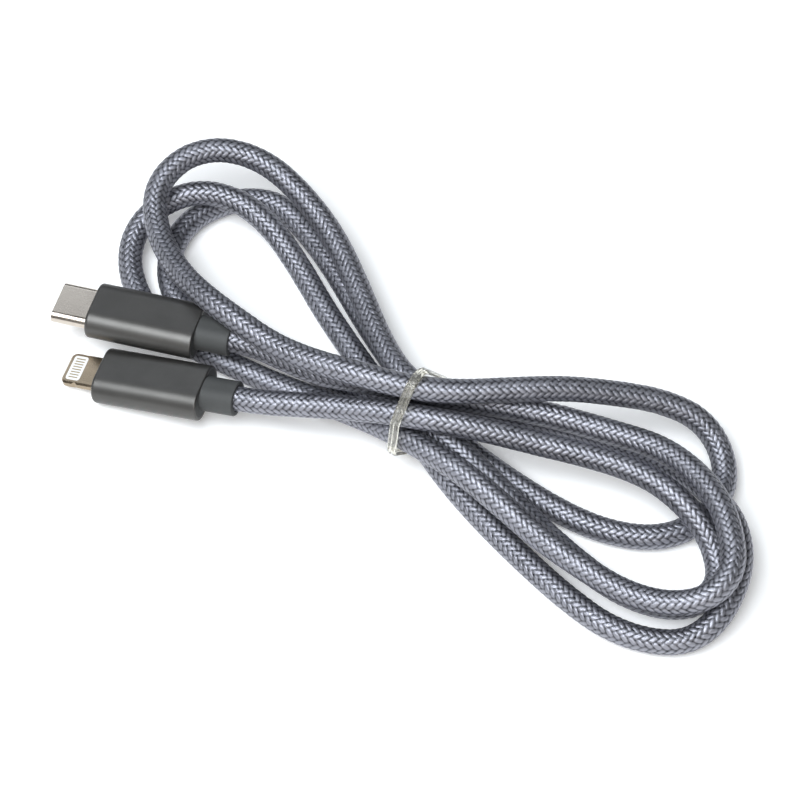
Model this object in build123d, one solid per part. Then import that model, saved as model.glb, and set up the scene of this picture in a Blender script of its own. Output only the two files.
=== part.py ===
from build123d import *
import math
import os

# A braided charging cable, wound in a loose figure-of-eight hank round one clear elastic band.
# Millimetres, +Z up. Origin: middle of the footprint of the whole hank, on the surface it lies on.
# Each plug is drawn in its own frame: x = 0 near the housing's front face, metal tip towards -x,
# cable towards +x, y across the width, z through the thickness.

# Cable
CABLE_D = 4.4
CABLE_R = CABLE_D / 2
CORNER_SHARE = 0.45
CABLE_START_X = 19.6
JACKET_END_GAP = 0.05

# The cable's route, plug to plug, as the corners of its run, wound leg by leg.
FLOOR = CABLE_R
EIGHT_PIN_LEAD = [
    (-32.04, -0.56, 6.07), (-23.8, -3.34, 7.44), (-15.95, -4.95, 8.9), (-9.15, -6.25, 9.95),
    (-1.85, -8.45, 11.92),
]
RIGHT_LOOP_A = [
    (5.95, -10.75, 12.83), (14.75, -12.15, 11.92), (23.45, -13.55, 10.08), (31.65, -15.35, 9.17),
    (38.95, -17.65, 8.71), (44.45, -20.85, 8.71), (49.05, -24.95, 7.79), (52.25, -28.65, 5.96),
    (54.15, -32.25, 3.67), (54.55, -36.45, FLOOR), (52.25, -40.05, FLOOR), (48.65, -41.95, FLOOR),
    (43.15, -41.45, FLOOR), (36.75, -38.25, FLOOR), (29.85, -32.25, 2.75), (22.95, -25.45, 4.12),
    (16.55, -18.55, 5.5), (10.15, -12.15, 7.33),
]
LEFT_LOOP_A = [
    (3.75, -6.65, 8.25), (-3.15, -1.15, 6.88), (-9.55, 3.45, 3.67), (-16.45, 8.45, FLOOR),
    (-24.25, 12.65, FLOOR), (-31.55, 15.85, FLOOR), (-37.05, 20.45, FLOOR),
    (-40.25, 26.35, FLOOR), (-40.25, 33.75, FLOOR), (-37.55, 40.15, FLOOR),
    (-32.55, 44.25, FLOOR), (-26.55, 46.05, FLOOR), (-20.55, 44.25, 2.75), (-15.55, 38.25, FLOOR),
    (-10.55, 29.55, FLOOR), (-5.45, 18.55, FLOOR), (0.05, 8.45, FLOOR),
]
RIGHT_LOOP_B = [
    (5.05, -1.15, 3.67), (11.95, -9.35, FLOOR), (19.75, -16.25, FLOOR), (27.55, -22.25, FLOOR),
    (34.85, -26.35, FLOOR), (42.65, -28.15, FLOOR), (49.05, -26.75, FLOOR),
    (54.15, -22.25, FLOOR), (56.85, -16.25, FLOOR), (55.95, -10.25, 4.12), (52.25, -6.15, 6.88),
    (45.85, -4.35, 9.17), (38.05, -4.35, 11.46), (28.95, -5.25, 14.21), (19.25, -6.65, 15.58),
    (10.15, -7.55, 16.04),
]
LEFT_LOOP_B = [
    (1.85, -6.65, 16.5), (-6.35, -3.85, 16.5), (-14.15, -0.25, 15.13), (-21.05, 4.35, 13.75),
    (-27.45, 9.45, 14.3), (-32.95, 14.85, 13.7), (-38.05, 22.85, 10.7), (-42.15, 32.75, 8.71),
    (-43.05, 41.05, 10.54), (-38.45, 47.05, 12.38), (-31.15, 49.25, 12.83),
    (-22.85, 47.05, 11.46), (-15.55, 40.15, 9.17), (-10.05, 31.45, 7.79), (-5.95, 20.45, 7.33),
    (-2.25, 9.45, 7.33),
]
RIGHT_LOOP_C = [
    (1.85, 1.15, 8.07), (8.25, -2.95, 7.7), (17.95, -4.75, 6.14), (28.45, -6.15, 5.04),
    (38.05, -9.85, 5.04), (46.75, -14.85, 5.96), (53.25, -21.25, 6.88), (57.35, -28.15, 7.33),
    (58.25, -35.05, 6.42), (56.45, -40.95, 5.04), (53.25, -46.05, 3.67), (48.65, -48.75, FLOOR),
    (42.65, -48.75, FLOOR), (35.75, -46.05, FLOOR), (29.35, -40.55, FLOOR),
    (22.95, -33.65, FLOOR), (16.05, -25.45, FLOOR), (9.65, -16.75, FLOOR),
]
LEFT_LOOP_C = [
    (3.75, -7.55, 3.67), (-1.85, 2.05, FLOOR), (-7.25, 11.25, FLOOR), (-12.35, 20.45, FLOOR),
    (-16.95, 29.55, 3.21), (-21.95, 36.95, 5.5), (-27.95, 41.95, 6.88), (-34.85, 43.75, 7.33),
    (-41.65, 42.45, 5.5), (-46.25, 37.85, 4.12), (-47.65, 30.95, 2.75), (-45.35, 23.15, FLOOR),
    (-40.75, 15.85, FLOOR), (-34.65, 12.05, FLOOR), (-28.25, 8.45, FLOOR), (-21.95, 4.85, FLOOR),
    (-14.65, 1.15, 2.75), (-7.75, -3.45, 4.58), (-1.35, -8.45, 6.88),
]
RIGHT_LOOP_D = [
    (5.05, -13.95, 8.71), (11.45, -19.45, 9.62), (17.95, -25.45, 8.71), (24.35, -31.35, 7.33),
    (31.25, -36.85, 6.88), (37.65, -41.45, 6.42), (44.45, -44.25, 6.88), (50.45, -44.65, 8.25),
    (54.55, -42.35, 9.62), (56.45, -38.25, 10.54), (55.95, -32.25, 11.46), (54.15, -26.35, 11.92),
    (50.45, -20.35, 11.46), (44.95, -14.85, 10.54), (37.15, -11.25, 9.62), (27.95, -7.95, 9.62),
    (18.35, -6.15, 10.54), (9.65, -5.25, 11.46),
]
USB_C_LEAD = [
    (1.45, -3.85, 12.38), (-6.35, -1.55, 11.46), (-13.25, 1.45, 9.35), (-19.05, 4.85, 9.0),
    (-24.94, 8.19, 9.03), (-33.32, 10.8, 8.5),
]
ROUTE = (
    EIGHT_PIN_LEAD + RIGHT_LOOP_A + LEFT_LOOP_A + RIGHT_LOOP_B + LEFT_LOOP_B
    + RIGHT_LOOP_C + LEFT_LOOP_C + RIGHT_LOOP_D + USB_C_LEAD
)

# Where each plug lies: the middle of its front, its turn, and how far its cable end tips up
USB_C_FRONT = (-52.0, 16.62, 7.3)
USB_C_YAW = -17.3
USB_C_RISE = 3.5
EIGHT_PIN_FRONT = (-50.39, 5.61, 3.0)
EIGHT_PIN_YAW = -18.6
EIGHT_PIN_RISE = 9.0

# Elastic band: hull of the strands where it goes round them
BAND_CENTRE = (4.38, -5.78)
BAND_YAW = -33.0
BAND_WIDTH = 1.8
BAND_THICK = 0.9
BAND_STRAND_R = 2.28
BAND_EDGE = 0.4
BAND_HULL = [
    (-2.29, 3.32), (4.4, 3.32), (5.13, 7.33), (4.77, 8.53), (-0.64, 16.5), (-1.56, 16.5),
    (-5.32, 12.56), (-6.23, 7.43),
]

# Parts both plugs share
HOUSING_W = 10.8
HOUSING_T = 5.8
HOUSING_FRONT_X = -0.7
HOUSING_END_X = 19.0
HOUSING_WALL = 0.6
HOUSING_FRONT_ROUND = 0.6
HOUSING_REAR_ROUND = 0.25
CAVITY_W = HOUSING_W - 2 * HOUSING_WALL
CAVITY_T = HOUSING_T - 2 * HOUSING_WALL
MOULD_START_X = HOUSING_FRONT_X + HOUSING_WALL
MOULD_END_X = 18.1
CAN_W = 9.0
CAN_T = 4.1
CAN_WALL = 0.2
CAN_END_X = 13.8
WIRE_WINDOW_W = 3.8
WIRE_WINDOW_T = 1.1
BOARD_T = 0.8
BOARD_END_X = 13.5
WIRE_D = 0.7
WIRE_Z = BOARD_T / 2 + WIRE_D / 2
WIRE_YS = (-1.14, -0.38, 0.38, 1.14)
WIRE_START_X = 10.5
JACKET_D = 3.6
JACKET_START_X = 14.0
FERRULE_D = 4.2
FERRULE_END_X = 17.2
COLLAR_W = 6.4
COLLAR_T = 5.2
COLLAR_END_X = 25.0
COLLAR_END_ROUND = 0.25
COLLAR_BORE_R = CABLE_R + 0.08

# USB-C tip
SHELL_W = 8.25
SHELL_T = 2.4
SHELL_WALL = 0.25
SHELL_FRONT_X = -7.35
SHELL_END_X = 3.0
SHELL_GAP = 0.05
CARRIER_W = 7.7
CARRIER_T = 1.85
CARRIER_FRONT_X = -7.1
CARRIER_END_X = 2.0
MOUTH_W = 7.2
MOUTH_T = 1.1
MOUTH_ROUND = 0.3
LATCH_POCKET_W = 7.3
LATCH_POCKET_T = 0.8
BLADE_COUNT = 12
BLADE_PITCH = 0.5
BLADE_W = 0.28
BLADE_T = 0.15
BLADE_FRONT_X = -5.7
BLADE_END_X = 3.7
SPRING_COUNT = 4
SPRING_PITCH = 1.5
SPRING_W = 0.9
SPRING_T = 0.12
SPRING_FRONT_X = -6.9
SPRING_END_X = -6.0
LATCH_INNER_Y = 3.25
LATCH_T = 0.2
LATCH_H = 0.7
LATCH_FRONT_X = -6.4
LATCH_END_X = 1.6
LATCH_HOOK_Y = 3.0
LATCH_HOOK_FRONT_X = -6.2
LATCH_HOOK_END_X = -5.7
USB_NECK_W = 6.0
USB_NECK_FRONT_X = 0.9
USB_BOARD_W = 8.4
USB_BOARD_X = SHELL_END_X + CAN_WALL

# 8-pin tip
TAB_W = 6.7
TAB_T = 1.5
TAB_FRONT_X = -7.35
TAB_END_X = 4.5
TAB_CORNER = 1.1
TAB_EDGE = 0.3
TAB_GAP = 0.05
NOTCH_X = -4.65
NOTCH_R = 0.6
NOTCH_DEPTH = 0.25
WINDOW_FRONT_X = -6.6
WINDOW_END_X = -4.0
WINDOW_W = 5.3
WINDOW_CORNER = 0.5
TONGUE_W = 4.8
PAD_COUNT = 8
PAD_PITCH = 0.58
PAD_W = 0.24
PAD_FRONT_X = -6.15
PAD_END_X = -4.45
PAD_DEPTH = 0.25
PIN_BOARD_W = 8.0
PIN_BOARD_X = TAB_END_X + CAN_WALL


def across(x):
    return Plane(origin=(x, 0, 0), x_dir=(0, 1, 0), z_dir=(1, 0, 0))


def oval(width, thick, x0, x1):
    return extrude(across(x0) * SlotOverall(width, thick), amount=x1 - x0)


def rod(diameter, x0, x1, y=0.0, z=0.0):
    return extrude(across(x0) * Pos(y, z) * Circle(diameter / 2), amount=x1 - x0)


def bar(x0, x1, y0, y1, z0, z1):
    centre = Pos((x0 + x1) / 2, (y0 + y1) / 2, (z0 + z1) / 2)
    return centre * Box(x1 - x0, y1 - y0, z1 - z0)


def centred_bar(width, thick, x0, x1):
    return bar(x0, x1, -width / 2, width / 2, -thick / 2, thick / 2)


def row(count, pitch):
    return [(i - (count - 1) / 2) * pitch for i in range(count)]


# Shared plug parts
def housing(opening):
    body = oval(HOUSING_W, HOUSING_T, HOUSING_FRONT_X, HOUSING_END_X)
    front = body.faces().sort_by(Axis.X)[0].edges()
    body = fillet(front, HOUSING_FRONT_ROUND)
    rear = body.faces().sort_by(Axis.X)[-1].edges()
    body = fillet(rear, HOUSING_REAR_ROUND)
    body -= oval(CAVITY_W, CAVITY_T, MOULD_START_X, HOUSING_END_X)
    return body - opening


def shield_can(x0, way_in):
    body = oval(CAN_W, CAN_T, x0, CAN_END_X)
    inside_w = CAN_W - 2 * CAN_WALL
    inside_t = CAN_T - 2 * CAN_WALL
    body -= oval(inside_w, inside_t, x0 + CAN_WALL, CAN_END_X - CAN_WALL)
    wire_window = Pos(CAN_END_X, 0, WIRE_Z) * Box(1.0, WIRE_WINDOW_W, WIRE_WINDOW_T)
    return body - way_in - wire_window


def wires():
    return [rod(WIRE_D, WIRE_START_X, JACKET_START_X, y, WIRE_Z) for y in WIRE_YS]


def jacket_end():
    return rod(JACKET_D, JACKET_START_X, CABLE_START_X - JACKET_END_GAP)


def ferrule():
    ring = rod(FERRULE_D, JACKET_START_X, FERRULE_END_X)
    return ring - rod(JACKET_D, JACKET_START_X, FERRULE_END_X)


def inner_mould(tip, can_x0):
    body = oval(CAVITY_W, CAVITY_T, MOULD_START_X, MOULD_END_X)
    body -= tip
    body -= oval(CAN_W, CAN_T, can_x0, CAN_END_X)
    for y in WIRE_YS:
        body -= rod(WIRE_D, CAN_END_X, JACKET_START_X, y, WIRE_Z)
    body -= rod(FERRULE_D, JACKET_START_X, FERRULE_END_X)
    body -= rod(JACKET_D, FERRULE_END_X, MOULD_END_X)
    return body


def collar():
    body = oval(COLLAR_W, COLLAR_T, HOUSING_END_X, COLLAR_END_X)
    end = body.faces().sort_by(Axis.X)[-1].edges()
    body = fillet(end, COLLAR_END_ROUND)
    body += oval(CAVITY_W, CAVITY_T, MOULD_END_X, HOUSING_END_X)
    body -= rod(JACKET_D, MOULD_END_X, CABLE_START_X)
    return body - rod(2 * COLLAR_BORE_R, CABLE_START_X, COLLAR_END_X)


# USB-C parts
def usb_c_shell():
    body = oval(SHELL_W, SHELL_T, SHELL_FRONT_X, SHELL_END_X)
    lip = body.faces().sort_by(Axis.X)[0].edges()
    body = fillet(lip, 0.12)
    inside_w = SHELL_W - 2 * SHELL_WALL
    inside_t = SHELL_T - 2 * SHELL_WALL
    return body - oval(inside_w, inside_t, SHELL_FRONT_X, SHELL_END_X)


def usb_c_carrier():
    body = oval(CARRIER_W, CARRIER_T, CARRIER_FRONT_X, CARRIER_END_X)
    length = CARRIER_END_X - CARRIER_FRONT_X
    mouth = across(CARRIER_FRONT_X) * RectangleRounded(MOUTH_W, MOUTH_T, MOUTH_ROUND)
    body -= extrude(mouth, amount=length)
    return body - centred_bar(LATCH_POCKET_W, LATCH_POCKET_T, CARRIER_FRONT_X, CARRIER_END_X)


def usb_c_contacts():
    low = MOUTH_T / 2 - BLADE_T
    solids = []
    for y in row(BLADE_COUNT, BLADE_PITCH):
        y0 = y - BLADE_W / 2
        y1 = y + BLADE_W / 2
        solids.append(bar(BLADE_FRONT_X, BLADE_END_X, y0, y1, low, low + BLADE_T))
        solids.append(bar(BLADE_FRONT_X, BLADE_END_X, y0, y1, -low - BLADE_T, -low))
    return solids


def usb_c_ground_springs():
    high = MOUTH_T / 2
    solids = []
    for y in row(SPRING_COUNT, SPRING_PITCH):
        y0 = y - SPRING_W / 2
        y1 = y + SPRING_W / 2
        solids.append(bar(SPRING_FRONT_X, SPRING_END_X, y0, y1, high - SPRING_T, high))
        solids.append(bar(SPRING_FRONT_X, SPRING_END_X, y0, y1, -high, SPRING_T - high))
    return solids


def usb_c_latch(side):
    outer = LATCH_INNER_Y + LATCH_T
    ys = sorted((side * LATCH_INNER_Y, side * outer))
    arm = bar(LATCH_FRONT_X, LATCH_END_X, ys[0], ys[1], -LATCH_H / 2, LATCH_H / 2)
    ys = sorted((side * LATCH_HOOK_Y, side * LATCH_INNER_Y))
    hook = bar(LATCH_HOOK_FRONT_X, LATCH_HOOK_END_X, ys[0], ys[1], -LATCH_H / 2, LATCH_H / 2)
    return arm + hook


def usb_c_board():
    neck = centred_bar(USB_NECK_W, BOARD_T, USB_NECK_FRONT_X, USB_BOARD_X)
    return neck + centred_bar(USB_BOARD_W, BOARD_T, USB_BOARD_X, BOARD_END_X)


def chips(specs):
    top = BOARD_T / 2
    solids = []
    for x, y, length, width, high in specs:
        solids.append(Pos(x, y, top + high / 2) * Box(length, width, high))
    return solids


USB_C_CHIPS = [
    (7.0, 0.0, 2.5, 2.5, 0.7), (6.6, 2.6, 1.0, 0.5, 0.5), (8.2, 2.6, 1.0, 0.5, 0.5),
    (6.6, -2.6, 1.0, 0.5, 0.35), (8.2, -2.6, 1.0, 0.5, 0.35),
]
EIGHT_PIN_CHIPS = [
    (7.6, 0.0, 3.0, 2.2, 0.8), (7.0, 2.4, 1.0, 0.5, 0.5), (8.8, 2.4, 1.0, 0.5, 0.5),
    (7.0, -2.4, 1.0, 0.5, 0.35), (8.8, -2.4, 1.0, 0.5, 0.35),
]


# 8-pin parts
def eight_pin_frame():
    length = TAB_END_X - TAB_FRONT_X
    body = centred_bar(TAB_W, TAB_T, TAB_FRONT_X, TAB_END_X)
    uprights = body.edges().filter_by(Axis.Z).sort_by(Axis.X)[:2]
    body = fillet(uprights, TAB_CORNER)
    rims = body.faces().sort_by(Axis.Z)[0].edges() + body.faces().sort_by(Axis.Z)[-1].edges()
    rims = [e for e in rims if e.center().X < TAB_FRONT_X + length - 0.01]
    body = chamfer(rims, TAB_EDGE)
    for side in (-1, 1):
        y = side * (TAB_W / 2 + NOTCH_R - NOTCH_DEPTH)
        body -= Pos(NOTCH_X, y, 0) * Cylinder(NOTCH_R, TAB_T)
    body -= eight_pin_window()
    return body - centred_bar(TONGUE_W, BOARD_T, WINDOW_END_X, TAB_END_X)


def eight_pin_window():
    middle = (WINDOW_FRONT_X + WINDOW_END_X) / 2
    long = WINDOW_END_X - WINDOW_FRONT_X
    plan = Pos(middle, 0, -TAB_T / 2) * RectangleRounded(long, WINDOW_W, WINDOW_CORNER)
    return extrude(plan, amount=TAB_T)


def eight_pin_pads():
    high = TAB_T / 2
    solids = []
    for y in row(PAD_COUNT, PAD_PITCH):
        y0 = y - PAD_W / 2
        y1 = y + PAD_W / 2
        solids.append(bar(PAD_FRONT_X, PAD_END_X, y0, y1, high - PAD_DEPTH, high))
        solids.append(bar(PAD_FRONT_X, PAD_END_X, y0, y1, -high, PAD_DEPTH - high))
    return solids


def eight_pin_insulator():
    body = eight_pin_window()
    for pad in eight_pin_pads():
        body -= pad
    return body


def eight_pin_board():
    tongue = centred_bar(TONGUE_W, BOARD_T, WINDOW_END_X, PIN_BOARD_X)
    return tongue + centred_bar(PIN_BOARD_W, BOARD_T, PIN_BOARD_X, BOARD_END_X)


# Cable and band
def corner_radii(points):
    radii = []
    for before, here, after in zip(points, points[1:], points[2:]):
        a = Vector(*before) - Vector(*here)
        b = Vector(*after) - Vector(*here)
        turn = math.pi - math.radians(a.get_angle(b))
        radii.append(CORNER_SHARE * min(a.length, b.length) / math.tan(turn / 2))
    return radii


def braided_cable():
    radii = corner_radii(ROUTE)
    print("corner radii, mm:", [round(r, 1) for r in radii])
    path = FilletPolyline(*ROUTE, radius=radii)
    start = Plane(origin=path @ 0, z_dir=path % 0)
    tube = sweep(start * Circle(CABLE_R), path=path)
    expected = math.pi * CABLE_R**2 * path.length
    print("cable length, mm:", round(path.length, 1), "tube volume / section x length:",
          round(tube.volume / expected, 4), "lowest z:", round(tube.bounding_box().min.Z, 3))
    return tube


def tie_band():
    yaw = math.radians(BAND_YAW)
    normal = (math.cos(yaw), math.sin(yaw), 0)
    side = (-math.sin(yaw), math.cos(yaw), 0)
    plane = Plane(origin=(*BAND_CENTRE, 0), x_dir=side, z_dir=normal)
    hull = make_face(Polyline(*BAND_HULL, close=True))
    inside = offset(hull, BAND_STRAND_R)
    outside = offset(hull, BAND_STRAND_R + BAND_THICK)
    ring = extrude(plane * (outside - inside), amount=BAND_WIDTH / 2, both=True)
    ends = ring.faces().filter_by(Axis(origin=(0, 0, 0), direction=normal), tolerance=1.0)
    return fillet(ends.edges(), BAND_EDGE)


# The assembly
shell_envelope = oval(SHELL_W, SHELL_T, MOULD_START_X, SHELL_END_X)
shell_hole = oval(SHELL_W + 2 * SHELL_GAP, SHELL_T + 2 * SHELL_GAP, HOUSING_FRONT_X,
                  MOULD_START_X)
blade_way = centred_bar(USB_NECK_W + 0.4, 1.3, SHELL_END_X, USB_BOARD_X)
tab_envelope = centred_bar(TAB_W, TAB_T, MOULD_START_X, TAB_END_X)
tab_hole = centred_bar(TAB_W + 2 * TAB_GAP, TAB_T + 2 * TAB_GAP, HOUSING_FRONT_X,
                       MOULD_START_X)
tongue_way = centred_bar(TONGUE_W + 0.2, BOARD_T + 0.1, TAB_END_X, PIN_BOARD_X)

USB_C_NODES = {
    "usb_c_shell": [usb_c_shell()],
    "usb_c_contact_carrier": [usb_c_carrier()],
    "usb_c_contacts": usb_c_contacts(),
    "usb_c_ground_springs": usb_c_ground_springs(),
    "usb_c_latch_left": [usb_c_latch(-1)],
    "usb_c_latch_right": [usb_c_latch(1)],
    "usb_c_board": [usb_c_board()],
    "usb_c_chips": chips(USB_C_CHIPS),
    "usb_c_shield_can": [shield_can(SHELL_END_X, blade_way)],
    "usb_c_wires": wires(),
    "usb_c_ferrule": [ferrule()],
    "usb_c_jacket_end": [jacket_end()],
    "usb_c_inner_mould": [inner_mould(shell_envelope, SHELL_END_X)],
    "usb_c_housing": [housing(shell_hole)],
    "usb_c_collar": [collar()],
}
EIGHT_PIN_NODES = {
    "eight_pin_frame": [eight_pin_frame()],
    "eight_pin_insulator": [eight_pin_insulator()],
    "eight_pin_contacts": eight_pin_pads(),
    "eight_pin_board": [eight_pin_board()],
    "eight_pin_chips": chips(EIGHT_PIN_CHIPS),
    "eight_pin_shield_can": [shield_can(TAB_END_X, tongue_way)],
    "eight_pin_wires": wires(),
    "eight_pin_ferrule": [ferrule()],
    "eight_pin_jacket_end": [jacket_end()],
    "eight_pin_inner_mould": [inner_mould(tab_envelope, TAB_END_X)],
    "eight_pin_housing": [housing(tab_hole)],
    "eight_pin_collar": [collar()],
}

nodes = {}
for place, yaw, rise, group in (
    (USB_C_FRONT, USB_C_YAW, USB_C_RISE, USB_C_NODES),
    (EIGHT_PIN_FRONT, EIGHT_PIN_YAW, EIGHT_PIN_RISE, EIGHT_PIN_NODES),
):
    at = Pos(*place) * Rot(0, 0, yaw) * Rot(0, -rise, 0)
    for name, solids in group.items():
        nodes[name] = [at * solid for solid in solids]
nodes["braided_cable"] = [braided_cable()]
nodes["tie_band"] = [tie_band()]

os.makedirs("parts", exist_ok=True)
for name, solids in nodes.items():
    whole = solids[0] if len(solids) == 1 else Compound(children=solids)
    export_step(whole, f"parts/{name}.step")

everything = Compound(children=[s for solids in nodes.values() for s in solids])
box = everything.bounding_box()
print("box min", box.min, "max", box.max, "nodes", len(nodes))
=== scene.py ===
import math

import bpy
import numpy as np
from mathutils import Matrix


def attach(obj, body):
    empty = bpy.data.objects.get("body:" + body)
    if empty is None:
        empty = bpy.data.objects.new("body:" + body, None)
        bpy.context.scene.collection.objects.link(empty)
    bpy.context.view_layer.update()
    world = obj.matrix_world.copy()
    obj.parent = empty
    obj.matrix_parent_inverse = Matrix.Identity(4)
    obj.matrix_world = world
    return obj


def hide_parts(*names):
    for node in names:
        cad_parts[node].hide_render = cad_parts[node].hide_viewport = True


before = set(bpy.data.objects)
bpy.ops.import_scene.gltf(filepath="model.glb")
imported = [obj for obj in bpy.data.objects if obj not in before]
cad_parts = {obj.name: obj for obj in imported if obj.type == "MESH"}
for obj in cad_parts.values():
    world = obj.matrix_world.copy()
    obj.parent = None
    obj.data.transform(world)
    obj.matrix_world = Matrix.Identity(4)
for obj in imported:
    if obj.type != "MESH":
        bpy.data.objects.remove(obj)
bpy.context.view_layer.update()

# ---- Camera: 640 mm from the hank, 54 degrees above the table --------------------------------
CAMERA_TARGET = (0.00095, 0.00254, 0.0)
CAMERA_DISTANCE = 0.6417
CAMERA_ELEVATION = math.radians(54.0)
FOCAL_MM = 165.375
SENSOR_MM = 36.0

camera_data = bpy.data.cameras.new("camera")
camera_data.lens = FOCAL_MM
camera_data.sensor_width = SENSOR_MM
camera_data.clip_start = 0.05
camera = bpy.data.objects.new("camera", camera_data)
bpy.context.scene.collection.objects.link(camera)
camera.location = (
    CAMERA_TARGET[0],
    CAMERA_TARGET[1] - CAMERA_DISTANCE * math.cos(CAMERA_ELEVATION),
    CAMERA_TARGET[2] + CAMERA_DISTANCE * math.sin(CAMERA_ELEVATION),
)
camera.rotation_euler = (math.pi / 2 - CAMERA_ELEVATION, 0.0, 0.0)
bpy.context.scene.camera = camera

# ---- The cable's route, plug to plug, in metres ----------------------------------------------
CABLE_D = 0.0044
CABLE_R = CABLE_D / 2
FLOOR = CABLE_R
EIGHT_PIN_LEAD = [
    (-0.03204, -0.00056, 0.00607), (-0.0238, -0.00334, 0.00744), (-0.01595, -0.00495, 0.0089),
    (-0.00915, -0.00625, 0.00995), (-0.00185, -0.00845, 0.01192),
]
RIGHT_LOOP_A = [
    (0.00595, -0.01075, 0.01283), (0.01475, -0.01215, 0.01192), (0.02345, -0.01355, 0.01008),
    (0.03165, -0.01535, 0.00917), (0.03895, -0.01765, 0.00871), (0.04445, -0.02085, 0.00871),
    (0.04905, -0.02495, 0.00779), (0.05225, -0.02865, 0.00596), (0.05415, -0.03225, 0.00367),
    (0.05455, -0.03645, FLOOR), (0.05225, -0.04005, FLOOR), (0.04865, -0.04195, FLOOR),
    (0.04315, -0.04145, FLOOR), (0.03675, -0.03825, FLOOR), (0.02985, -0.03225, 0.00275),
    (0.02295, -0.02545, 0.00412), (0.01655, -0.01855, 0.0055), (0.01015, -0.01215, 0.00733),
]
LEFT_LOOP_A = [
    (0.00375, -0.00665, 0.00825), (-0.00315, -0.00115, 0.00688), (-0.00955, 0.00345, 0.00367),
    (-0.01645, 0.00845, FLOOR), (-0.02425, 0.01265, FLOOR), (-0.03155, 0.01585, FLOOR),
    (-0.03705, 0.02045, FLOOR), (-0.04025, 0.02635, FLOOR), (-0.04025, 0.03375, FLOOR),
    (-0.03755, 0.04015, FLOOR), (-0.03255, 0.04425, FLOOR), (-0.02655, 0.04605, FLOOR),
    (-0.02055, 0.04425, 0.00275), (-0.01555, 0.03825, FLOOR), (-0.01055, 0.02955, FLOOR),
    (-0.00545, 0.01855, FLOOR), (0.00005, 0.00845, FLOOR),
]
RIGHT_LOOP_B = [
    (0.00505, -0.00115, 0.00367), (0.01195, -0.00935, FLOOR), (0.01975, -0.01625, FLOOR),
    (0.02755, -0.02225, FLOOR), (0.03485, -0.02635, FLOOR), (0.04265, -0.02815, FLOOR),
    (0.04905, -0.02675, FLOOR), (0.05415, -0.02225, FLOOR), (0.05685, -0.01625, FLOOR),
    (0.05595, -0.01025, 0.00412), (0.05225, -0.00615, 0.00688), (0.04585, -0.00435, 0.00917),
    (0.03805, -0.00435, 0.01146), (0.02895, -0.00525, 0.01421), (0.01925, -0.00665, 0.01558),
    (0.01015, -0.00755, 0.01604),
]
LEFT_LOOP_B = [
    (0.00185, -0.00665, 0.0165), (-0.00635, -0.00385, 0.0165), (-0.01415, -0.00025, 0.01513),
    (-0.02105, 0.00435, 0.01375), (-0.02745, 0.00945, 0.0143), (-0.03295, 0.01485, 0.0137),
    (-0.03805, 0.02285, 0.0107), (-0.04215, 0.03275, 0.00871), (-0.04305, 0.04105, 0.01054),
    (-0.03845, 0.04705, 0.01238), (-0.03115, 0.04925, 0.01283), (-0.02285, 0.04705, 0.01146),
    (-0.01555, 0.04015, 0.00917), (-0.01005, 0.03145, 0.00779), (-0.00595, 0.02045, 0.00733),
    (-0.00225, 0.00945, 0.00733),
]
RIGHT_LOOP_C = [
    (0.00185, 0.00115, 0.00807), (0.00825, -0.00295, 0.0077), (0.01795, -0.00475, 0.00614),
    (0.02845, -0.00615, 0.00504), (0.03805, -0.00985, 0.00504), (0.04675, -0.01485, 0.00596),
    (0.05325, -0.02125, 0.00688), (0.05735, -0.02815, 0.00733), (0.05825, -0.03505, 0.00642),
    (0.05645, -0.04095, 0.00504), (0.05325, -0.04605, 0.00367), (0.04865, -0.04875, FLOOR),
    (0.04265, -0.04875, FLOOR), (0.03575, -0.04605, FLOOR), (0.02935, -0.04055, FLOOR),
    (0.02295, -0.03365, FLOOR), (0.01605, -0.02545, FLOOR), (0.00965, -0.01675, FLOOR),
]
LEFT_LOOP_C = [
    (0.00375, -0.00755, 0.00367), (-0.00185, 0.00205, FLOOR), (-0.00725, 0.01125, FLOOR),
    (-0.01235, 0.02045, FLOOR), (-0.01695, 0.02955, 0.00321), (-0.02195, 0.03695, 0.0055),
    (-0.02795, 0.04195, 0.00688), (-0.03485, 0.04375, 0.00733), (-0.04165, 0.04245, 0.0055),
    (-0.04625, 0.03785, 0.00412), (-0.04765, 0.03095, 0.00275), (-0.04535, 0.02315, FLOOR),
    (-0.04075, 0.01585, FLOOR), (-0.03465, 0.01205, FLOOR), (-0.02825, 0.00845, FLOOR),
    (-0.02195, 0.00485, FLOOR), (-0.01465, 0.00115, 0.00275), (-0.00775, -0.00345, 0.00458),
    (-0.00135, -0.00845, 0.00688),
]
RIGHT_LOOP_D = [
    (0.00505, -0.01395, 0.00871), (0.01145, -0.01945, 0.00962), (0.01795, -0.02545, 0.00871),
    (0.02435, -0.03135, 0.00733), (0.03125, -0.03685, 0.00688), (0.03765, -0.04145, 0.00642),
    (0.04445, -0.04425, 0.00688), (0.05045, -0.04465, 0.00825), (0.05455, -0.04235, 0.00962),
    (0.05645, -0.03825, 0.01054), (0.05595, -0.03225, 0.01146), (0.05415, -0.02635, 0.01192),
    (0.05045, -0.02035, 0.01146), (0.04495, -0.01485, 0.01054), (0.03715, -0.01125, 0.00962),
    (0.02795, -0.00795, 0.00962), (0.01835, -0.00615, 0.01054), (0.00965, -0.00525, 0.01146),
]
USB_C_LEAD = [
    (0.00145, -0.00385, 0.01238), (-0.00635, -0.00155, 0.01146), (-0.01325, 0.00145, 0.00935),
    (-0.01905, 0.00485, 0.009), (-0.02494, 0.00819, 0.00903), (-0.03332, 0.0108, 0.0085),
]
ROUTE = (
    EIGHT_PIN_LEAD + RIGHT_LOOP_A + LEFT_LOOP_A + RIGHT_LOOP_B + LEFT_LOOP_B
    + RIGHT_LOOP_C + LEFT_LOOP_C + RIGHT_LOOP_D + USB_C_LEAD
)
ROUTE_RESOLUTION = 24


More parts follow.
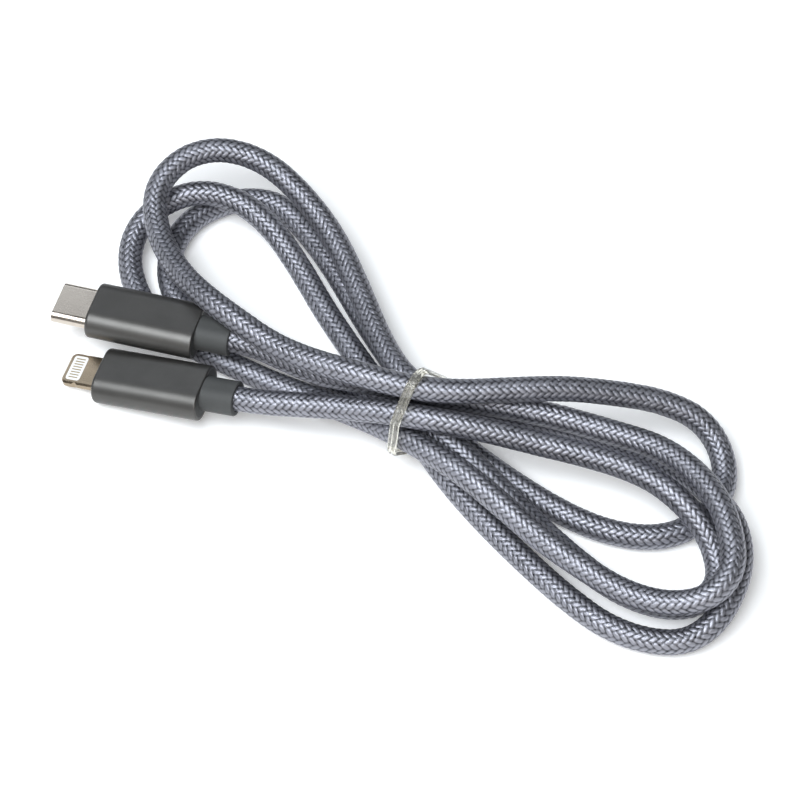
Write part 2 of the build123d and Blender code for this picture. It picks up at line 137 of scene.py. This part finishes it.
def read_route(points):
    """The points of the smooth line that has the route's points as its control points."""
    curve = bpy.data.curves.new("route", "CURVE")
    curve.dimensions = "3D"
    spline = curve.splines.new("NURBS")
    spline.points.add(len(points) - 1)
    for point, place in zip(spline.points, points):
        point.co = (*place, 1.0)
    spline.order_u = 3
    spline.use_endpoint_u = True
    spline.resolution_u = ROUTE_RESOLUTION
    holder = bpy.data.objects.new("route", curve)
    bpy.context.scene.collection.objects.link(holder)
    bpy.context.view_layer.update()
    graph = bpy.context.evaluated_depsgraph_get()
    line = bpy.data.meshes.new_from_object(holder.evaluated_get(graph))
    found = np.array([v.co for v in line.vertices], float)
    bpy.data.objects.remove(holder)
    bpy.data.curves.remove(curve)
    bpy.data.meshes.remove(line)
    return found


def evenly(line, step):
    """Points at even distances along the line, and those distances."""
    lengths = np.concatenate([[0], np.cumsum(np.linalg.norm(np.diff(line, axis=0), axis=1))])
    count = int(round(lengths[-1] / step)) + 1
    at = np.linspace(0, lengths[-1], count)
    return np.stack([np.interp(at, lengths, line[:, k]) for k in range(3)], 1), at


def frames_along(line):
    """Tangents and two side directions that don't twist about the line."""
    tangents = np.gradient(line, axis=0)
    tangents /= np.linalg.norm(tangents, axis=1)[:, None]
    sides = np.zeros_like(line)
    side = np.cross(tangents[0], (0, 0, 1))
    for i, t in enumerate(tangents):
        side = side - t * side.dot(t)
        side /= np.linalg.norm(side)
        sides[i] = side
    return tangents, sides, np.cross(tangents, sides)


# ---- Braid: 24 carriers, two over two under, so ribs of leaning floats run along the cable ----
CARRIERS = 12                                   # yarns each way
RIB_PITCH = 2 * math.pi * CABLE_R / CARRIERS    # across a rib
FLOAT_PITCH = 0.00128                           # from float to float along a rib
BRAID_STEP = 0.00018
BRAID_AROUND = 96
YARN_T = 0.00012
YARN_WAVE = 0.00009
YARN_SHARE = 0.97                               # of a rib that its yarn fills
WAVE_GAIN = 1.35                                # flattens the tops of the over-under wave
YARN_JITTER = 0.000012                          # height differences from float to float
YARN_TABLE = 997                                # how many of them are drawn
FLOAT_HASH = (7, 13, 5)                         # picks one by rib, float and family
BRAID_SEED = 7


def braid_height(a, b, table):
    """The upper yarn's height, the place across it and its family, at rib a and float b."""
    heights = []
    acrosses = []
    by_rib, by_float, by_family = FLOAT_HASH
    for family in (0, 1):
        cross = a + b if family == 0 else a - b
        run = a - b if family == 0 else a + b
        index = np.floor(cross)
        across = cross - index - 0.5
        phase = (run + index - 1.0) * (math.pi / 2)
        wave = np.cos(phase) if family == 0 else -np.cos(phase)
        wave = np.clip(WAVE_GAIN * wave, -1.0, 1.0)
        bulge = np.sqrt(np.clip(1.0 - (2 * across / YARN_SHARE) ** 2, 0.0, 1.0))
        along = np.floor((run + index + 1) / 4).astype(int)
        drawn = (index.astype(int) * by_rib + along * by_float + family * by_family) % len(table)
        heights.append(YARN_WAVE * wave + YARN_T * bulge + table[drawn] * YARN_JITTER)
        acrosses.append(across)
    upper = heights[1] > heights[0]
    height = np.where(upper, heights[1], heights[0])
    across = np.where(upper, acrosses[1], acrosses[0])
    return height, across, upper


def braid_mesh(line, at):
    """The cable's surface, with its yarns in relief and their directions for the material."""
    tangents, sides, ups = frames_along(line)
    rings = len(line)
    angle = np.arange(BRAID_AROUND) * (2 * math.pi / BRAID_AROUND)
    a = np.broadcast_to(angle / (2 * math.pi) * CARRIERS, (rings, BRAID_AROUND))
    b = np.broadcast_to((at / FLOAT_PITCH)[:, None], (rings, BRAID_AROUND))
    table = np.random.default_rng(BRAID_SEED).standard_normal(YARN_TABLE)
    height, across, upper = braid_height(a, b, table)
    height = height - (YARN_T + YARN_WAVE)
    radius = CABLE_R + height
    cos, sin = np.cos(angle)[None, :, None], np.sin(angle)[None, :, None]
    around = sides[:, None, :] * cos + ups[:, None, :] * sin
    verts = line[:, None, :] + around * radius[..., None]
    # direction of the yarn: along the cable and round it, with the lean of its family
    round_dir = -sides[:, None, :] * sin + ups[:, None, :] * cos
    lean = np.where(upper, 1.0, -1.0)[..., None]
    yarn = tangents[:, None, :] * FLOAT_PITCH + round_dir * lean * RIB_PITCH
    yarn /= np.linalg.norm(yarn, axis=2)[..., None]
    mesh = bpy.data.meshes.new("cable_braid")
    count = rings * BRAID_AROUND
    i = np.arange(rings - 1)[:, None] * BRAID_AROUND
    j = np.arange(BRAID_AROUND)[None, :]
    k = (np.arange(BRAID_AROUND) + 1)[None, :] % BRAID_AROUND
    quads = np.stack([i + j, i + k, i + BRAID_AROUND + k, i + BRAID_AROUND + j], -1).reshape(-1, 4)
    caps = [np.arange(BRAID_AROUND)[::-1], (rings - 1) * BRAID_AROUND + np.arange(BRAID_AROUND)]
    mesh.vertices.add(count)
    mesh.vertices.foreach_set("co", verts.reshape(-1).astype(np.float32))
    corners = np.concatenate([quads.reshape(-1)] + caps).astype(np.int32)
    cap_starts = len(quads) * 4 + np.arange(2) * BRAID_AROUND
    starts = np.concatenate([np.arange(len(quads)) * 4, cap_starts]).astype(np.int32)
    mesh.loops.add(len(corners))
    mesh.loops.foreach_set("vertex_index", corners)
    mesh.polygons.add(len(quads) + 2)
    mesh.polygons.foreach_set("loop_start", starts)
    mesh.update(calc_edges=True)
    mesh.validate()
    mesh.polygons.foreach_set("use_smooth", np.ones(len(mesh.polygons), bool))
    for name, kind, values in (
        ("yarn_dir", "FLOAT_VECTOR", yarn),
        ("yarn_across", "FLOAT", across),
        ("yarn_depth", "FLOAT", (height / (YARN_T + YARN_WAVE) + 1.0)),
    ):
        attribute = mesh.attributes.new(name, kind, "POINT")
        key = "vector" if kind == "FLOAT_VECTOR" else "value"
        attribute.data.foreach_set(key, np.asarray(values, np.float32).reshape(-1))
    uv = mesh.uv_layers.new(name="UVMap")
    per_vertex = np.stack([a / CARRIERS, b * FLOAT_PITCH / CABLE_D], -1).reshape(-1, 2)
    loops = np.zeros(len(mesh.loops), np.int32)
    mesh.loops.foreach_get("vertex_index", loops)
    coords = per_vertex[loops]
    # a quad across the seam keeps its corners on one side of it
    quad_u = coords[: len(quads) * 4, 0].reshape(-1, 4)
    wrapped = (quad_u.max(1) - quad_u.min(1)) > 0.5
    fixed = np.where(wrapped[:, None] & (quad_u < 0.5), quad_u + 1.0, quad_u)
    coords[: len(quads) * 4, 0] = fixed.reshape(-1)
    uv.data.foreach_set("uv", coords.astype(np.float32).reshape(-1))
    return mesh


# ---- Materials ---------------------------------------------------------------------------------
NOISE_LOW, NOISE_HIGH = 0.3, 0.7        # where most of a noise texture's values lie
PATCH_SCALE = 260.0
WEAR_SCALE = 900.0
STREAK_SCALE = 5200.0
STREAK_STRETCH = 14.0
PLASTIC_IOR = 1.5


def new_material(name):
    material = bpy.data.materials.new(name)
    material.use_nodes = True
    tree = material.node_tree
    tree.nodes.clear()
    out = tree.nodes.new("ShaderNodeOutputMaterial")
    shader = tree.nodes.new("ShaderNodeBsdfPrincipled")
    tree.links.new(shader.outputs["BSDF"], out.inputs["Surface"])
    return material, tree, shader


def math_node(tree, operation, first, second=None, third=None):
    node = tree.nodes.new("ShaderNodeMath")
    node.operation = operation
    for socket, value in zip(node.inputs, (first, second, third)):
        if value is None:
            continue
        if isinstance(value, (int, float)):
            socket.default_value = value
        else:
            tree.links.new(value, socket)
    return node.outputs[0]


def noise(tree, scale, detail=4.0, roughness=0.5, vector=None):
    node = tree.nodes.new("ShaderNodeTexNoise")
    node.inputs["Scale"].default_value = scale
    node.inputs["Detail"].default_value = detail
    node.inputs["Roughness"].default_value = roughness
    if vector is None:
        vector = tree.nodes.new("ShaderNodeTexCoord").outputs["Object"]
    tree.links.new(vector, node.inputs["Vector"])
    return node.outputs["Fac"]


def spread(tree, factor, low, high):
    node = tree.nodes.new("ShaderNodeMapRange")
    node.inputs["From Min"].default_value = NOISE_LOW
    node.inputs["From Max"].default_value = NOISE_HIGH
    node.inputs["To Min"].default_value = low
    node.inputs["To Max"].default_value = high
    tree.links.new(factor, node.inputs["Value"])
    return node.outputs["Result"]


def ramp(tree, factor, stops):
    node = tree.nodes.new("ShaderNodeValToRGB")
    elements = node.color_ramp.elements
    while len(elements) < len(stops):
        elements.new(0.5)
    for element, (place, colour) in zip(elements, stops):
        element.position = place
        element.color = (*colour, 1.0)
    tree.links.new(factor, node.inputs["Fac"])
    return node.outputs["Color"]


def bump(tree, shader, height, distance, strength=1.0):
    node = tree.nodes.new("ShaderNodeBump")
    node.inputs["Distance"].default_value = distance
    node.inputs["Strength"].default_value = strength
    tree.links.new(height, node.inputs["Height"])
    tree.links.new(node.outputs["Normal"], shader.inputs["Normal"])


def shaded(tone, share):
    return tuple(c * share for c in tone)


def grained(name, colour, metallic=0.0, roughness=0.5, vary=0.06, rough_vary=0.06, grain=9000.0,
            depth=0.000004, specular=0.5):
    """A moulded or finished surface: slow colour drift, a fine grain in gloss and bump."""
    material, tree, shader = new_material(name)
    shader.inputs["Metallic"].default_value = metallic
    shader.inputs["Specular IOR Level"].default_value = specular
    shader.inputs["IOR"].default_value = PLASTIC_IOR
    patches = noise(tree, PATCH_SCALE, 3.0)
    colours = ramp(tree, patches, [(0.3, shaded(colour, 1 - vary)), (0.7, shaded(colour, 1 + vary))])
    tree.links.new(colours, shader.inputs["Base Color"])
    fine = noise(tree, grain, 2.0)
    rough = spread(tree, fine, roughness - rough_vary, roughness + rough_vary)
    tree.links.new(rough, shader.inputs["Roughness"])
    bump(tree, shader, fine, depth)
    return material


def drawn_metal(name, colour, yaw, roughness=0.24):
    """Drawn or stamped plated metal: faint streaks along the plug, small wear in the gloss."""
    material, tree, shader = new_material(name)
    shader.inputs["Metallic"].default_value = 1.0
    shader.inputs["Anisotropic"].default_value = 0.35
    coordinates = tree.nodes.new("ShaderNodeTexCoord").outputs["Object"]
    turned = tree.nodes.new("ShaderNodeMapping")
    turned.vector_type = "TEXTURE"
    turned.inputs["Rotation"].default_value = (0.0, 0.0, math.radians(yaw))
    turned.inputs["Scale"].default_value = (STREAK_STRETCH, 1.0, 1.0)
    tree.links.new(coordinates, turned.inputs["Vector"])
    streaks = noise(tree, STREAK_SCALE, 3.0, 0.6, turned.outputs["Vector"])
    wear = noise(tree, WEAR_SCALE, 5.0, 0.65)
    tone = ramp(tree, wear, [(0.35, shaded(colour, 0.97)), (0.65, shaded(colour, 1.02))])
    tree.links.new(tone, shader.inputs["Base Color"])
    mixed = math_node(tree, "MULTIPLY_ADD", streaks, 0.7, math_node(tree, "MULTIPLY", wear, 0.3))
    tree.links.new(spread(tree, mixed, roughness - 0.03, roughness + 0.05), shader.inputs["Roughness"])
    bump(tree, shader, streaks, 0.000002)
    return material


BRAID_TONE = (0.252, 0.254, 0.288)
# near-black colour for the gaps between yarns: painted shade
BRAID_GAP_SHADE = (0.006, 0.0065, 0.012)
FILAMENTS = 7.0


def braid_material():
    """Glossy filament yarn: filaments run along each yarn; its colour darkens with depth, which is
    painted shade in the gaps between yarns, and lightens above the base tone, which is a painted
    highlight on the yarn crowns.
    """
    material, tree, shader = new_material("braid_yarn")
    shader.inputs["Metallic"].default_value = 0.82
    shader.inputs["Anisotropic"].default_value = 0.72
    shader.inputs["Specular IOR Level"].default_value = 0.6
    direction = tree.nodes.new("ShaderNodeAttribute")
    direction.attribute_name = "yarn_dir"
    tree.links.new(direction.outputs["Vector"], shader.inputs["Tangent"])
    across = tree.nodes.new("ShaderNodeAttribute")
    across.attribute_name = "yarn_across"
    depth = tree.nodes.new("ShaderNodeAttribute")
    depth.attribute_name = "yarn_depth"
    stray = noise(tree, 2600.0, 4.0, 0.6)
    shifted = math_node(tree, "MULTIPLY_ADD", stray, 0.35, across.outputs["Fac"])
    strands = math_node(tree, "SINE", math_node(tree, "MULTIPLY", shifted, FILAMENTS * 2 * math.pi))
    strands = math_node(tree, "MULTIPLY_ADD", strands, 0.5, 0.5)
    slow = noise(tree, 420.0, 3.0)
    level = math_node(tree, "MULTIPLY_ADD", slow, 0.16, depth.outputs["Fac"])
    level = math_node(tree, "MULTIPLY_ADD", strands, 0.1, level)
    # depth sets the colour: near black in the gaps and darker low down is painted shade, brighter than
    # the base tone on the crowns is a painted highlight; the slow noise adds random tone and the
    # filament stripes add fine lines
    colour = ramp(tree, level, [
        (0.36, BRAID_GAP_SHADE), (0.62, shaded(BRAID_TONE, 0.36)), (0.86, shaded(BRAID_TONE, 0.85)),
        (1.0, shaded(BRAID_TONE, 1.25)),
    ])
    tree.links.new(colour, shader.inputs["Base Color"])
    rough = spread(tree, stray, 0.28, 0.44)
    tree.links.new(rough, shader.inputs["Roughness"])
    height = math_node(tree, "MULTIPLY_ADD", strands, 0.7, math_node(tree, "MULTIPLY", stray, 0.6))
    bump(tree, shader, height, 0.00002, 0.7)
    return material


def clear_elastic():
    """Clear elastic: faintly yellow, with soft clouds in it."""
    material, tree, shader = new_material("clear_elastic")
    shader.inputs["Transmission Weight"].default_value = 0.92
    shader.inputs["IOR"].default_value = 1.42
    shader.inputs["Specular IOR Level"].default_value = 0.8
    clouds = noise(tree, 1100.0, 3.0)
    tone = ramp(tree, clouds, [(0.35, (0.84, 0.82, 0.73)), (0.65, (0.92, 0.90, 0.82))])
    tree.links.new(tone, shader.inputs["Base Color"])
    tree.links.new(spread(tree, clouds, 0.03, 0.07), shader.inputs["Roughness"])
    bump(tree, shader, clouds, 0.0000005, 0.15)
    return material


def put(node, material):
    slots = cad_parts[node].data.materials
    if len(slots) == 0:
        slots.append(material)
    for index in range(len(slots)):
        slots[index] = material


USB_C_YAW = -17.3
EIGHT_PIN_YAW = -18.6
anodised = grained("anodised_anthracite", (0.108, 0.105, 0.101), metallic=0.86, roughness=0.43,
                   grain=16000.0, depth=0.000006, specular=0.5)
rubber = grained("collar_rubber", (0.055, 0.057, 0.057), roughness=0.62, rough_vary=0.08,
                 grain=11000.0, depth=0.000008, specular=0.4)
black_plastic = grained("black_moulding", (0.018, 0.018, 0.02), roughness=0.38, grain=8000.0)
gold = grained("gold_plating", (0.86, 0.64, 0.30), metallic=1.0, roughness=0.26,
               grain=7000.0, depth=0.000002)
pad_gold = grained("pad_gold", (0.42, 0.33, 0.20), metallic=1.0, roughness=0.34,
                   grain=7000.0, depth=0.000002)
spring = grained("spring_steel", (0.56, 0.56, 0.55), metallic=1.0, roughness=0.3,
                 grain=9000.0, depth=0.000002)
board_green = grained("board_mask", (0.012, 0.09, 0.045), roughness=0.3, grain=4000.0, depth=0.000004)
chip_black = grained("chip_moulding", (0.02, 0.02, 0.021), roughness=0.55, grain=14000.0)
can_steel = grained("can_steel", (0.60, 0.60, 0.60), metallic=1.0, roughness=0.3,
                    grain=5000.0, depth=0.000003)
wire_red = grained("wire_sleeve", (0.45, 0.05, 0.04), roughness=0.35, grain=6000.0)
jacket_grey = grained("jacket_plastic", (0.6, 0.6, 0.6), roughness=0.45, grain=7000.0)
mould_grey = grained("inner_mould", (0.07, 0.07, 0.072), roughness=0.5, grain=7000.0)
white_moulding = grained("white_insulator", (0.82, 0.82, 0.81), roughness=0.32, grain=8000.0, vary=0.03,
                         depth=0.000003)
shell_metal = drawn_metal("shell_nickel", (0.58, 0.52, 0.455), USB_C_YAW)
tab_metal = drawn_metal("tab_nickel", (0.34, 0.275, 0.20), EIGHT_PIN_YAW, roughness=0.28)

for plug in ("usb_c", "eight_pin"):
    for part, material in (
        ("housing", anodised), ("collar", rubber), ("board", board_green), ("chips", chip_black),
        ("shield_can", can_steel), ("wires", wire_red), ("ferrule", can_steel),
        ("jacket_end", jacket_grey), ("inner_mould", mould_grey),
    ):
        put(f"{plug}_{part}", material)
put("usb_c_shell", shell_metal)
put("usb_c_contact_carrier", black_plastic)
put("usb_c_contacts", gold)
put("usb_c_ground_springs", spring)
put("usb_c_latch_left", spring)
put("usb_c_latch_right", spring)
put("eight_pin_frame", tab_metal)
put("eight_pin_insulator", white_moulding)
put("eight_pin_contacts", pad_gold)
put("tie_band", clear_elastic())
put("braided_cable", braid_material())

# ---- The braided cable ---------------------------------------------------------------------------
ROOT_BODY = "cable"
route_line = read_route(ROUTE)
step = BRAID_STEP
rings, ring_at = evenly(route_line, step)
cable = bpy.data.objects.new("cable_braid", braid_mesh(rings, ring_at))
bpy.context.scene.collection.objects.link(cable)
cable.data.materials.append(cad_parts["braided_cable"].data.materials[0])
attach(cable, ROOT_BODY)
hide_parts("braided_cable")

# ---- The elastic band, with two ridges along it ------------------------------------------------
BAND_CENTRE = (0.00438, -0.00578)
BAND_YAW = math.radians(-33.0)
BAND_WIDTH = 0.0018
BAND_THICK = 0.0009
BAND_STRAND_R = 0.00228
BAND_HULL = [
    (-0.00229, 0.00332), (0.0044, 0.00332), (0.00513, 0.00733), (0.00477, 0.00853),
    (-0.00064, 0.0165), (-0.00156, 0.0165), (-0.00532, 0.01256), (-0.00623, 0.00743),
]
BAND_SECTION = 40
BAND_TURN_STEP = 0.1
VALLEY_DEPTH = 0.45
RIDGE_GAP = 1.1         # from ridge to ridge, in half widths


def band_mesh():
    """A flat ring drawn taut round the strands it touches, in an upright plane."""
    hull = np.array(BAND_HULL)
    count = len(hull)
    middle = BAND_STRAND_R + BAND_THICK / 2
    ring = []
    for k in range(count):
        before = hull[k] - hull[k - 1]
        after = hull[(k + 1) % count] - hull[k]
        start = math.atan2(-before[0], before[1])
        turn = (math.atan2(-after[0], after[1]) - start) % (2 * math.pi)
        steps = max(3, math.ceil(turn / BAND_TURN_STEP))
        for i in range(steps + 1):
            angle = start + turn * i / steps
            ring.append((hull[k], math.cos(angle), math.sin(angle)))
    normal = np.array((math.cos(BAND_YAW), math.sin(BAND_YAW), 0.0))
    side = np.array((-normal[1], normal[0], 0.0))
    up = np.array((0.0, 0.0, 1.0))
    verts = []
    for corner, c, s in ring:
        for j in range(BAND_SECTION):
            phi = 2 * math.pi * j / BAND_SECTION
            across = math.cos(phi)
            valley = 1.0 - VALLEY_DEPTH * math.cos(math.pi * across / RIDGE_GAP) ** 2
            out = middle + BAND_THICK / 2 * math.sin(phi) * valley
            place = np.array((*BAND_CENTRE, 0.0)) + side * (corner[0] + c * out)
            verts.append(place + up * (corner[1] + s * out) + normal * across * BAND_WIDTH / 2)
    rings = len(ring)
    faces = []
    for i in range(rings):
        for j in range(BAND_SECTION):
            here = i * BAND_SECTION
            there = (i + 1) % rings * BAND_SECTION
            k = (j + 1) % BAND_SECTION
            faces.append((here + j, here + k, there + k, there + j))
    mesh = bpy.data.meshes.new("elastic_band")
    mesh.from_pydata([tuple(v) for v in verts], [], faces)
    mesh.polygons.foreach_set("use_smooth", np.ones(len(faces), bool))
    mesh.update()
    return mesh


band = bpy.data.objects.new("elastic_band", band_mesh())
bpy.context.scene.collection.objects.link(band)
band.data.materials.append(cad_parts["tie_band"].data.materials[0])
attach(band, ROOT_BODY)
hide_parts("tie_band")

# ---- Floor and light -----------------------------------------------------------------------------
FLOOR_HALF = 3.0
FLOOR_GREY = 0.93
FLOOR_GLOW = 0.2
WORLD_GLOW = 0.08
floor_mesh = bpy.data.meshes.new("floor")
floor_mesh.from_pydata(
    [(-FLOOR_HALF, -FLOOR_HALF, 0), (FLOOR_HALF, -FLOOR_HALF, 0),
     (FLOOR_HALF, FLOOR_HALF, 0), (-FLOOR_HALF, FLOOR_HALF, 0)], [], [(0, 1, 2, 3)])
floor_obj = bpy.data.objects.new("floor", floor_mesh)
bpy.context.scene.collection.objects.link(floor_obj)
floor_material, _, floor_shader = new_material("pale_table")
floor_shader.inputs["Base Color"].default_value = (FLOOR_GREY, FLOOR_GREY, FLOOR_GREY, 1.0)
floor_shader.inputs["Roughness"].default_value = 0.85
floor_shader.inputs["Specular IOR Level"].default_value = 0.1
floor_shader.inputs["Emission Color"].default_value = (1.0, 1.0, 1.0, 1.0)
floor_shader.inputs["Emission Strength"].default_value = FLOOR_GLOW
floor_mesh.materials.append(floor_material)


def softbox(name, place, aim, size, watts, colour):
    data = bpy.data.lights.new(name, "AREA")
    data.shape = "RECTANGLE"
    data.size, data.size_y = size
    data.energy = watts
    data.color = colour
    lamp = bpy.data.objects.new(name, data)
    bpy.context.scene.collection.objects.link(lamp)
    lamp.location = place
    x, y, z = (a - p for a, p in zip(aim, place))
    lamp.rotation_euler = (math.atan2(math.hypot(x, y), -z), 0.0, math.atan2(-x, y))


softbox("key", (-0.36, -0.36, 1.05), (0, 0, 0), (1.0, 0.7), 19.0, (0.92, 0.965, 1.0))
softbox("front", (0.0, -1.0, 0.5), (0, 0, 0), (1.2, 0.5), 4.0, (1.0, 0.965, 0.92))
softbox("back", (-0.3, 0.95, 0.85), (0, 0, 0), (1.0, 0.35), 1.9, (0.85, 0.92, 1.0))
world = bpy.data.worlds.new("studio")
bpy.context.scene.world = world
world.use_nodes = True
background = world.node_tree.nodes["Background"]
background.inputs["Color"].default_value = (1.0, 1.0, 1.0, 1.0)
background.inputs["Strength"].default_value = WORLD_GLOW
bpy.context.scene.view_settings.view_transform = "Standard"
